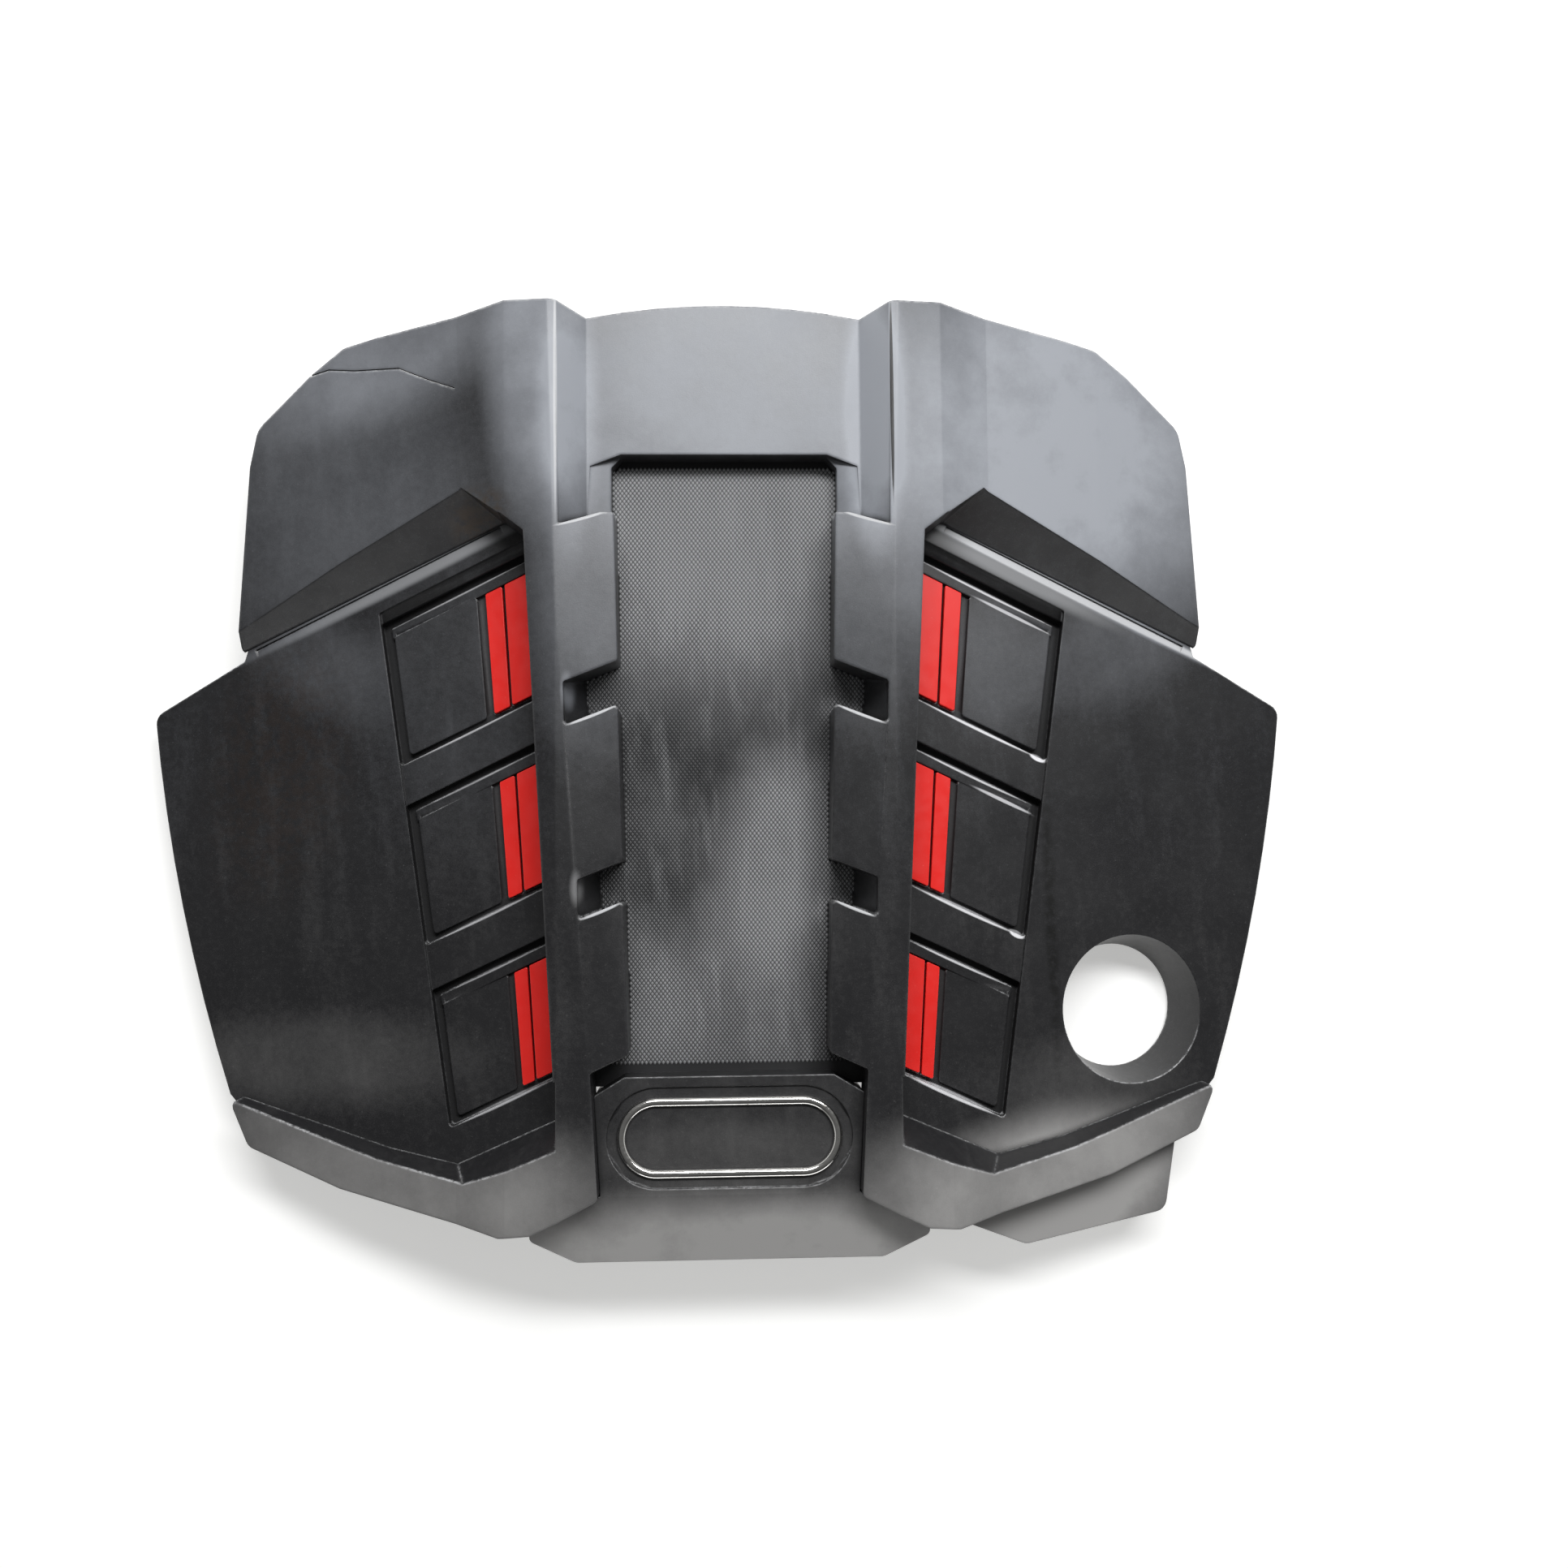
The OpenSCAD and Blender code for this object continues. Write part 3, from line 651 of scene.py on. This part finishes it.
LEFT_WING_LOOKS = {
    "wear_and_highlight": 0.6,
    # Painted highlight on the lit band along the rail
    "haze_and_sheen": [((-0.195, 0.123), (0.15, 0.0065), 24.9, 0.42)],
    # Painted highlight on the lit band along the rail, and painted highlights along the bays' edges
    "lines": [
        ((0.24, 0.245, 0.255), (-0.180, 0.1285), (0.13, 0.0055), 24.9, 1.0),
        *pale_lines(-1, BAY_LIPS, 0.40, 0.0015, 1.6),
        *pale_lines(-1, LEDGE_LIPS, 0.30, 0.0013, 1.5),
    ],
    "dust": [
        ((-0.17, 0.05), (0.07, 0.16), 8.0, 0.05),
        ((-0.24, -0.165), (0.12, 0.04), 0.0, 0.12),
        ((-0.245, 0.075), (0.07, 0.04), -30.0, 0.12),
    ],
    "stains_and_shade": [((0.03, 0.018, 0.012), (-0.27, 0.01), (0.06, 0.11), -10.0, 0.35)],
}
RIGHT_WING_LOOKS = {
    "wear_and_highlight": 0.85,
    # Painted highlight on the lit band along the rail, and painted light, partly dust, near the front
    # leg
    "haze_and_sheen": [
        ((0.211, 0.1155), (0.16, 0.0055), -24.9, 0.95),
        ((0.19, -0.25), (0.12, 0.06), 10.0, 1.45),
    ],
    # Painted highlights on the lit band along the rail and along the bays' edges, pads and scuffed ends
    "lines": [
        ((0.235, 0.24, 0.25), (0.180, 0.1232), (0.09, 0.0085), -24.9, 1.0),
        ((0.60, 0.61, 0.63), (0.211, 0.1152), (0.15, 0.0034), -24.9, 2.0),
        *pale_lines(1, BAY_LIPS, 0.80, 0.0019, 2.2),
        *pale_lines(1, LEDGE_LIPS, 0.70, 0.0016, 2.2),
        *pale_lines(1, PAD_LIPS, 0.55, 0.0014, 2.0),
        *pale_lines(1, SCUFFED_AND_LIT_ENDS, 0.95, 0.0026, 3.0),
    ],
    "dust": [
        ((0.245, 0.085), (0.08, 0.05), 30.0, 0.16),
        ((0.22, -0.185), (0.09, 0.04), 0.0, 0.10),
        ((0.165, 0.07), (0.05, 0.06), 0.0, 0.15),
    ],
    # A dark streak of painted shade along the outer groove beside the bays
    "stains_and_shade": [((0.004, 0.004, 0.004), (0.1965, -0.085), (0.0055, 0.12), 1.5, 0.95)],
}
BADGE_LOOKS = {
    "wear_and_highlight": 0.4,
    # Painted light from the front on the lip, partly dust
    "haze_and_sheen": [
        ((0.0, -0.274), (0.24, 0.047), 0.0, 1.05),
        ((0.0, -0.22), (0.14, 0.03), 0.0, 0.12),
    ],
    "dust": [((0.0, -0.18), (0.12, 0.05), 0.0, 0.05)],
    "stains_and_shade": [((0.01, 0.01, 0.01), (0.05, -0.235), (0.02, 0.01), 0.0, 0.3)],
}


class COVER_OT_frame(bpy.types.Operator):
    """Makes the upper frame with its rounded rim"""

    bl_idname = "cover.frame"
    bl_label = "Frame"

    def execute(self, context):
        colours = context.scene.cover_colours
        sizes = context.scene.cover_sizes
        plastic = moulded_plastic("frame_plastic", colours, FRAME_LOOKS, sizes.rim)
        dressed_copy("frame", "frame_shell", plastic)
        return {"FINISHED"}


class COVER_OT_wings(bpy.types.Operator):
    """Makes the two side wings with their bays and pads"""

    bl_idname = "cover.wings"
    bl_label = "Side wings"

    def execute(self, context):
        colours = context.scene.cover_colours
        sizes = context.scene.cover_sizes
        for side, looks in (("left", LEFT_WING_LOOKS), ("right", RIGHT_WING_LOOKS)):
            plastic = moulded_plastic(side + "_wing_plastic", colours, looks, sizes.edge, 0.36)
            dressed_copy(side + "_wing", side + "_wing_shell", plastic)
        return {"FINISHED"}


def grain_tree(material):
    """Rows of low four-sided grains, each row set half a step on, left out under the cover.
    Width and Length are the grained area's, Middle its place along the cover, Level its height."""
    tree = bpy.data.node_groups.new("Pressed grain", "GeometryNodeTree")
    tree.interface.new_socket(name="Cover", in_out="INPUT", socket_type="NodeSocketObject")
    for name in ("Across", "Row", "Height", "Width", "Length", "Middle", "Level"):
        tree.interface.new_socket(name=name, in_out="INPUT", socket_type="NodeSocketFloat")
    tree.interface.new_socket(name="Geometry", in_out="OUTPUT", socket_type="NodeSocketGeometry")
    new = tree.nodes.new
    link = tree.links.new
    given = new("NodeGroupInput").outputs

    def feed(node, *values):
        for socket, value in zip(node.inputs, values):
            if isinstance(value, bpy.types.NodeSocket):
                link(value, socket)
            else:
                socket.default_value = value
        return node.outputs[0]

    def math_node(operation, a, b=0.0):
        node = new("ShaderNodeMath")
        node.operation = operation
        return feed(node, a, b)

    def vector(x, y, z):
        return feed(new("ShaderNodeCombineXYZ"), x, y, z)

    two_rows = math_node("MULTIPLY", given["Row"], 2.0)
    across = math_node("FLOOR", math_node("DIVIDE", given["Width"], given["Across"]))
    rows = math_node("FLOOR", math_node("DIVIDE", given["Length"], two_rows))
    grid = new("GeometryNodeMeshGrid")
    link(math_node("MULTIPLY", across, given["Across"]), grid.inputs["Size X"])
    link(math_node("MULTIPLY", math_node("MULTIPLY", rows, given["Row"]), 2.0), grid.inputs["Size Y"])
    link(math_node("ADD", across, 1.0), grid.inputs["Vertices X"])
    link(math_node("ADD", rows, 1.0), grid.inputs["Vertices Y"])
    shifted = new("GeometryNodeTransform")
    link(grid.outputs["Mesh"], shifted.inputs["Geometry"])
    half = vector(math_node("MULTIPLY", given["Across"], 0.5), given["Row"], 0.0)
    link(half, shifted.inputs["Translation"])
    both = new("GeometryNodeJoinGeometry")
    link(grid.outputs["Mesh"], both.inputs[0])
    link(shifted.outputs[0], both.inputs[0])
    placed = new("GeometryNodeTransform")
    link(both.outputs[0], placed.inputs["Geometry"])
    link(vector(0.0, given["Middle"], given["Level"]), placed.inputs["Translation"])

    cover = new("GeometryNodeObjectInfo")
    link(given["Cover"], cover.inputs["Object"])
    above = new("GeometryNodeRaycast")
    link(cover.outputs["Geometry"], above.inputs["Target Geometry"])
    above.inputs["Ray Direction"].default_value = (0.0, 0.0, 1.0)
    above.inputs["Ray Length"].default_value = 0.2
    open_only = new("GeometryNodeDeleteGeometry")
    open_only.domain = "POINT"
    link(placed.outputs[0], open_only.inputs["Geometry"])
    link(above.outputs["Is Hit"], open_only.inputs["Selection"])

    grain = new("GeometryNodeMeshCone")
    grain.fill_type = "NGON"
    grain.inputs["Vertices"].default_value = 4
    grain.inputs["Radius Top"].default_value = 0.0
    grain.inputs["Radius Bottom"].default_value = 0.5
    grain.inputs["Depth"].default_value = 1.0
    on_points = new("GeometryNodeInstanceOnPoints")
    link(open_only.outputs[0], on_points.inputs["Points"])
    link(grain.outputs["Mesh"], on_points.inputs["Instance"])
    size = vector(
        math_node("MULTIPLY", given["Across"], 0.94),
        math_node("MULTIPLY", given["Row"], 1.9),
        given["Height"],
    )
    link(size, on_points.inputs["Scale"])
    real = new("GeometryNodeRealizeInstances")
    link(on_points.outputs[0], real.inputs[0])
    finish = new("GeometryNodeSetMaterial")
    link(real.outputs[0], finish.inputs["Geometry"])
    finish.inputs["Material"].default_value = material
    link(finish.outputs[0], new("NodeGroupOutput").inputs[0])
    return tree


def from_tree(name, tree, values):
    """Runs a geometry tree once and returns its result as a plain mesh."""
    holder = bpy.data.objects.new(name + "_rough", bpy.data.meshes.new(name + "_rough"))
    bpy.context.scene.collection.objects.link(holder)
    modifier = holder.modifiers.new("Tree", "NODES")
    modifier.node_group = tree
    for item in tree.interface.items_tree:
        if item.in_out == "INPUT" and item.name in values:
            modifier[item.identifier] = values[item.name]
    graph = bpy.context.evaluated_depsgraph_get()
    mesh = bpy.data.meshes.new_from_object(holder.evaluated_get(graph), depsgraph=graph)
    bpy.data.objects.remove(holder)
    if not mesh.polygons:
        raise RuntimeError(name + ": the geometry tree made nothing")
    mesh.name = name
    return mesh


class COVER_OT_centre_panel(bpy.types.Operator):
    """Finishes the centre panel and lays its pressed grain on it"""

    bl_idname = "cover.centre_panel"
    bl_label = "Centre panel"

    def execute(self, context):
        colours = context.scene.cover_colours
        sizes = context.scene.cover_sizes
        material = grained_plastic("centre_panel_plastic", colours.plastic)
        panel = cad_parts["centre_panel"]
        panel.data.materials.clear()
        panel.data.materials.append(material)
        values = {
            "Cover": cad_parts["frame"],
            "Across": sizes.grain_across,
            "Row": sizes.grain_row,
            "Height": sizes.grain_height,
            "Width": 0.168,
            "Length": 0.352,
            "Middle": 0.0095,
            "Level": PANEL_TOP + 0.5 * sizes.grain_height - GRAIN_SINK,
        }
        mesh = from_tree("centre_panel_grain", grain_tree(material), values)
        new_piece("centre_panel_grain", mesh)
        return {"FINISHED"}


class COVER_OT_badge_panel(bpy.types.Operator):
    """Makes the badge panel at the front"""

    bl_idname = "cover.badge_panel"
    bl_label = "Badge panel"

    def execute(self, context):
        colours = context.scene.cover_colours
        sizes = context.scene.cover_sizes
        plastic = moulded_plastic("badge_panel_plastic", colours, BADGE_LOOKS, sizes.edge)
        dressed_copy("badge_panel", "badge_panel_shell", plastic)
        return {"FINISHED"}


def ring_mesh(name, low, high, bar):
    """A long ring with a domed bar: two straights and two half circles, closed below."""
    end_steps = 96
    dome_steps = 12
    flank = 0.45
    middle = (low + high) / 2
    radius = (high.y - low.y) / 2 - bar / 2
    straight = (high.x - low.x) / 2 - bar / 2 - radius
    tall = high.z - low.z
    path = []
    for side in (1, -1):
        for k in range(end_steps + 1):
            turn = -side * math.pi / 2 + math.pi * k / end_steps
            place = Vector((side * straight + radius * math.cos(turn), radius * math.sin(turn)))
            path.append((place, turn))
    section = [(-0.5, 0.0), (-0.5, flank)]
    for k in range(1, dome_steps):
        turn = math.pi - math.pi * k / dome_steps
        section.append((0.5 * math.cos(turn), flank + (1 - flank) * math.sin(turn)))
    section += [(0.5, flank), (0.5, 0.0)]
    bm = bmesh.new()
    loops = []
    for place, turn in path:
        out = Vector((math.cos(turn), math.sin(turn)))
        loop = []
        for across, up in section:
            flat = place + out * (across * bar)
            loop.append(bm.verts.new((middle.x + flat.x, middle.y + flat.y, low.z + up * tall)))
        loops.append(loop)
    for a, b in zip(loops, loops[1:] + loops[:1]):
        for i in range(len(section)):
            j = (i + 1) % len(section)
            bm.faces.new((a[i], a[j], b[j], b[i]))
    bmesh.ops.recalc_face_normals(bm, faces=bm.faces)
    mesh = bpy.data.meshes.new(name)
    bm.to_mesh(mesh)
    bm.free()
    mesh.shade_smooth()
    mesh.set_sharp_from_angle(angle=math.radians(CURVED_SHARP))
    return mesh


class COVER_OT_badge_ring(bpy.types.Operator):
    """Makes the plain chrome ring"""

    bl_idname = "cover.badge_ring"
    bl_label = "Chrome ring"

    def execute(self, context):
        chrome = plated("ring_chrome", context.scene.cover_colours.chrome)
        low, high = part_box("badge_ring")
        mesh = ring_mesh("chrome_ring", low, high, context.scene.cover_sizes.ring_bar)
        new_piece("chrome_ring", mesh, ("badge_ring",), (chrome,))
        return {"FINISHED"}


class COVER_OT_bars(bpy.types.Operator):
    """Makes the six red inserts with their paired bars"""

    bl_idname = "cover.bars"
    bl_label = "Red bars"

    def execute(self, context):
        red = painted_red("bar_red", context.scene.cover_colours.bars)
        edge = context.scene.cover_sizes.bar_edge
        for node in sorted(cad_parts):
            if "red_insert" in node:
                dressed_copy(node, node + "_bars", red, edge)
        return {"FINISHED"}


class COVER_OT_sockets(bpy.types.Operator):
    """Makes the four rubber ball sockets"""

    bl_idname = "cover.sockets"
    bl_label = "Ball sockets"

    def execute(self, context):
        rubber = soft_rubber("socket_rubber", context.scene.cover_colours.rubber)
        for node in sorted(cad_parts):
            if node.endswith("_socket"):
                dressed_copy(node, node + "_rubber", rubber, SOCKET_EDGE)
        return {"FINISHED"}


def foam_mesh(name, low, high, pressed):
    """A foam slab: its upper side flat under the panel, its lower side crowned and dimpled, its
    edges pressed in."""
    columns = 64
    rows = 132
    lumps = 38
    lump_height = 0.0006
    dimples = 95
    dimple_depth = 0.0009
    crown = 0.0012
    middle = (low + high) / 2
    half = (high - low) / 2
    bm = bmesh.new()

    def point(i, j, lower):
        u = 2 * i / columns - 1
        v = 2 * j / rows - 1
        x = middle.x + u * half.x
        y = middle.y + v * half.y
        gap = min(half.x - abs(x - middle.x), half.y - abs(y - middle.y))
        round_in = pressed * max(0.0, 1 - gap / (3 * pressed)) ** 2
        if not lower:
            return Vector((x, y, high.z - 0.25 * round_in))
        wave = noise.noise(Vector((x * lumps, y * lumps, 3.1))) * lump_height
        cell = dimple_depth * (abs(math.sin(x * dimples)) * abs(math.sin(y * dimples))) ** 0.5
        return Vector((x, y, low.z + crown + round_in + wave - cell))

    def side(lower):
        return [
            [bm.verts.new(point(i, j, lower)) for i in range(columns + 1)]
            for j in range(rows + 1)
        ]

    top = side(False)
    bottom = side(True)
    for j in range(rows):
        for i in range(columns):
            bm.faces.new((top[j][i], top[j][i + 1], top[j + 1][i + 1], top[j + 1][i]))
            bm.faces.new((bottom[j][i], bottom[j + 1][i], bottom[j + 1][i + 1], bottom[j][i + 1]))
    rim = [(0, i) for i in range(columns)]
    rim += [(j, columns) for j in range(rows)]
    rim += [(rows, i) for i in range(columns, 0, -1)]
    rim += [(j, 0) for j in range(rows, 0, -1)]
    for (ja, ia), (jb, ib) in zip(rim, rim[1:] + rim[:1]):
        bm.faces.new((bottom[ja][ia], bottom[jb][ib], top[jb][ib], top[ja][ia]))
    bmesh.ops.recalc_face_normals(bm, faces=bm.faces)
    mesh = bpy.data.meshes.new(name)
    bm.to_mesh(mesh)
    bm.free()
    mesh.shade_smooth()
    mesh.set_sharp_from_angle(angle=math.radians(CURVED_SHARP))
    return mesh


class COVER_OT_foam(bpy.types.Operator):
    """Makes the foam pad under the centre panel"""

    bl_idname = "cover.foam"
    bl_label = "Foam pad"

    def execute(self, context):
        foam = open_foam("pad_foam", context.scene.cover_colours.foam)
        low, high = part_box("foam_pad")
        mesh = foam_mesh("foam_slab", low, high, context.scene.cover_sizes.foam_round)
        piece = new_piece("foam_slab", mesh, ("foam_pad",), (foam,))
        return {"FINISHED"}


def soft_light(name, place, target, size, power):
    """A flat lamp of that width and height at place, which looks at target."""
    data = bpy.data.lights.new(name, "AREA")
    data.shape = "RECTANGLE"
    data.size, data.size_y = size
    data.energy = power
    lamp = bpy.data.objects.new(name, data)
    bpy.context.scene.collection.objects.link(lamp)
    lamp.location = place
    lamp.rotation_mode = "QUATERNION"
    lamp.rotation_quaternion = (Vector(target) - Vector(place)).to_track_quat("-Z", "Y")


def pale_floor(size):
    """A white floor that keeps the cover's shadow and fades into the pale room."""
    mesh = bpy.data.meshes.new("floor")
    h = size / 2
    mesh.from_pydata([(-h, -h, 0), (h, -h, 0), (h, h, 0), (-h, h, 0)], [], [(0, 1, 2, 3)])
    floor = bpy.data.objects.new("floor", mesh)
    bpy.context.scene.collection.objects.link(floor)
    floor.location.z = -FLOOR_DROP
    s = Shader("floor_white")
    s.finish((0.84, 0.84, 0.835), 0.9, Specular_IOR_Level=0.0)
    rays = s.tree.nodes.new("ShaderNodeLightPath")
    seen = s.math("MAXIMUM", rays.outputs["Is Camera Ray"], rays.outputs["Is Glossy Ray"])
    seen = s.math("MAXIMUM", seen, rays.outputs["Is Transmission Ray"])
    s.surface.inputs["Emission Color"].default_value = WARM_WHITE
    distance = s.tree.nodes.new("ShaderNodeVectorMath")
    distance.operation = "LENGTH"
    s.feed(distance.inputs[0], s.place)
    lift = s.ramp(distance.outputs["Value"], 0.4, 4.0, 0.42, 0.75)
    s.feed(s.surface.inputs["Emission Strength"], s.math("MULTIPLY", seen, lift))
    mesh.materials.append(s.material)


def pale_room():
    """Pale walls round the horizon, darker in front, and a dim ceiling, the same for every ray."""
    world = bpy.data.worlds.new("pale_room")
    world.use_nodes = True
    bpy.context.scene.world = world
    tree = world.node_tree
    tree.nodes.clear()
    output = tree.nodes.new("ShaderNodeOutputWorld")
    background = tree.nodes.new("ShaderNodeBackground")
    tree.links.new(background.outputs[0], output.inputs["Surface"])
    direction = tree.nodes.new("ShaderNodeTexCoord")
    parts = tree.nodes.new("ShaderNodeSeparateXYZ")
    tree.links.new(direction.outputs["Generated"], parts.inputs[0])
    strength = tree.nodes.new("ShaderNodeMath")
    strength.operation = "MULTIPLY"
    # The axis, where the change begins and ends on it, and the brightness at either end
    changes = (
        ("Z", 0.10, 0.62, 1.0, 0.12),
        ("Y", -0.85, -0.1, 0.32, 1.0),
    )
    for socket, (axis, start, end, first, last) in zip(strength.inputs, changes):
        change = tree.nodes.new("ShaderNodeMapRange")
        change.interpolation_type = "SMOOTHSTEP"
        tree.links.new(parts.outputs[axis], change.inputs["Value"])
        change.inputs["From Min"].default_value = start
        change.inputs["From Max"].default_value = end
        change.inputs["To Min"].default_value = first
        change.inputs["To Max"].default_value = last
        tree.links.new(change.outputs["Result"], socket)
    tree.links.new(strength.outputs[0], background.inputs["Strength"])
    background.inputs["Color"].default_value = WARM_WHITE


def photo_camera():
    """The camera straight above the cover, a little tilted, as in the photograph."""
    data = bpy.data.cameras.new("camera")
    data.sensor_fit = "HORIZONTAL"
    data.sensor_width = 36.0
    data.lens = 36.0
    data.clip_start = 0.01
    data.clip_end = 100.0
    camera = bpy.data.objects.new("camera", data)
    bpy.context.scene.collection.objects.link(camera)
    place = Matrix.Translation((-0.00666, -0.05177, 0.99674))
    tilt = Matrix.Rotation(math.radians(3.0), 3, "X")
    lean = Matrix.Rotation(math.radians(-2.5), 3, "Y")
    roll = Matrix.Rotation(math.radians(-0.475), 3, "Z")
    camera.matrix_world = place @ (tilt @ lean @ roll).to_4x4()
    bpy.context.scene.camera = camera


class COVER_OT_stage(bpy.types.Operator):
    """Makes the floor, the room, the lights and the camera"""

    bl_idname = "cover.stage"
    bl_label = "Stage"

    def execute(self, context):
        stage = context.scene.cover_stage
        pale_floor(stage.floor)
        pale_room()
        soft_light(
            "rear_light",
            place=(0.28, 1.12, 1.95),
            target=(0.05, 0.12, 0.05),
            size=(1.8, 0.42),
            power=stage.rear_light,
        )
        soft_light(
            "front_light",
            place=(0.25, -2.2, 0.42),
            target=(0.0, -0.2, 0.06),
            size=(2.6, 0.5),
            power=stage.front_light,
        )
        photo_camera()
        context.scene.view_settings.view_transform = "Standard"
        return {"FINISHED"}


class COVER_PT_dressing(bpy.types.Panel):
    """Lists the pieces of the cover in the sidebar"""

    bl_label = "Engine cover"
    bl_idname = "COVER_PT_dressing"
    bl_space_type = "VIEW_3D"
    bl_region_type = "UI"
    bl_category = "Cover"

    def draw(self, context):
        layout = self.layout
        for group in (context.scene.cover_colours, context.scene.cover_sizes, context.scene.cover_stage):
            box = layout.box()
            for name in group.__annotations__:
                box.prop(group, name)
        for operator in OPERATORS:
            layout.operator(operator.bl_idname)


OPERATORS = (
    COVER_OT_stage,
    COVER_OT_frame,
    COVER_OT_wings,
    COVER_OT_centre_panel,
    COVER_OT_badge_panel,
    COVER_OT_badge_ring,
    COVER_OT_bars,
    COVER_OT_sockets,
    COVER_OT_foam,
)
CLASSES = (CoverColours, CoverSizes, StageSettings, *OPERATORS, COVER_PT_dressing)


def register():
    for cls in CLASSES:
        bpy.utils.register_class(cls)
    bpy.types.Scene.cover_colours = bpy.props.PointerProperty(type=CoverColours)
    bpy.types.Scene.cover_sizes = bpy.props.PointerProperty(type=CoverSizes)
    bpy.types.Scene.cover_stage = bpy.props.PointerProperty(type=StageSettings)


def unregister():
    del bpy.types.Scene.cover_stage
    del bpy.types.Scene.cover_sizes
    del bpy.types.Scene.cover_colours
    for cls in reversed(CLASSES):
        bpy.utils.unregister_class(cls)


def main():
    register()
    bpy.ops.cover.stage()
    bpy.ops.cover.frame()
    bpy.ops.cover.wings()
    bpy.ops.cover.centre_panel()
    bpy.ops.cover.badge_panel()
    bpy.ops.cover.badge_ring()
    bpy.ops.cover.bars()
    bpy.ops.cover.sockets()
    bpy.ops.cover.foam()


if __name__ == "__main__":
    main()
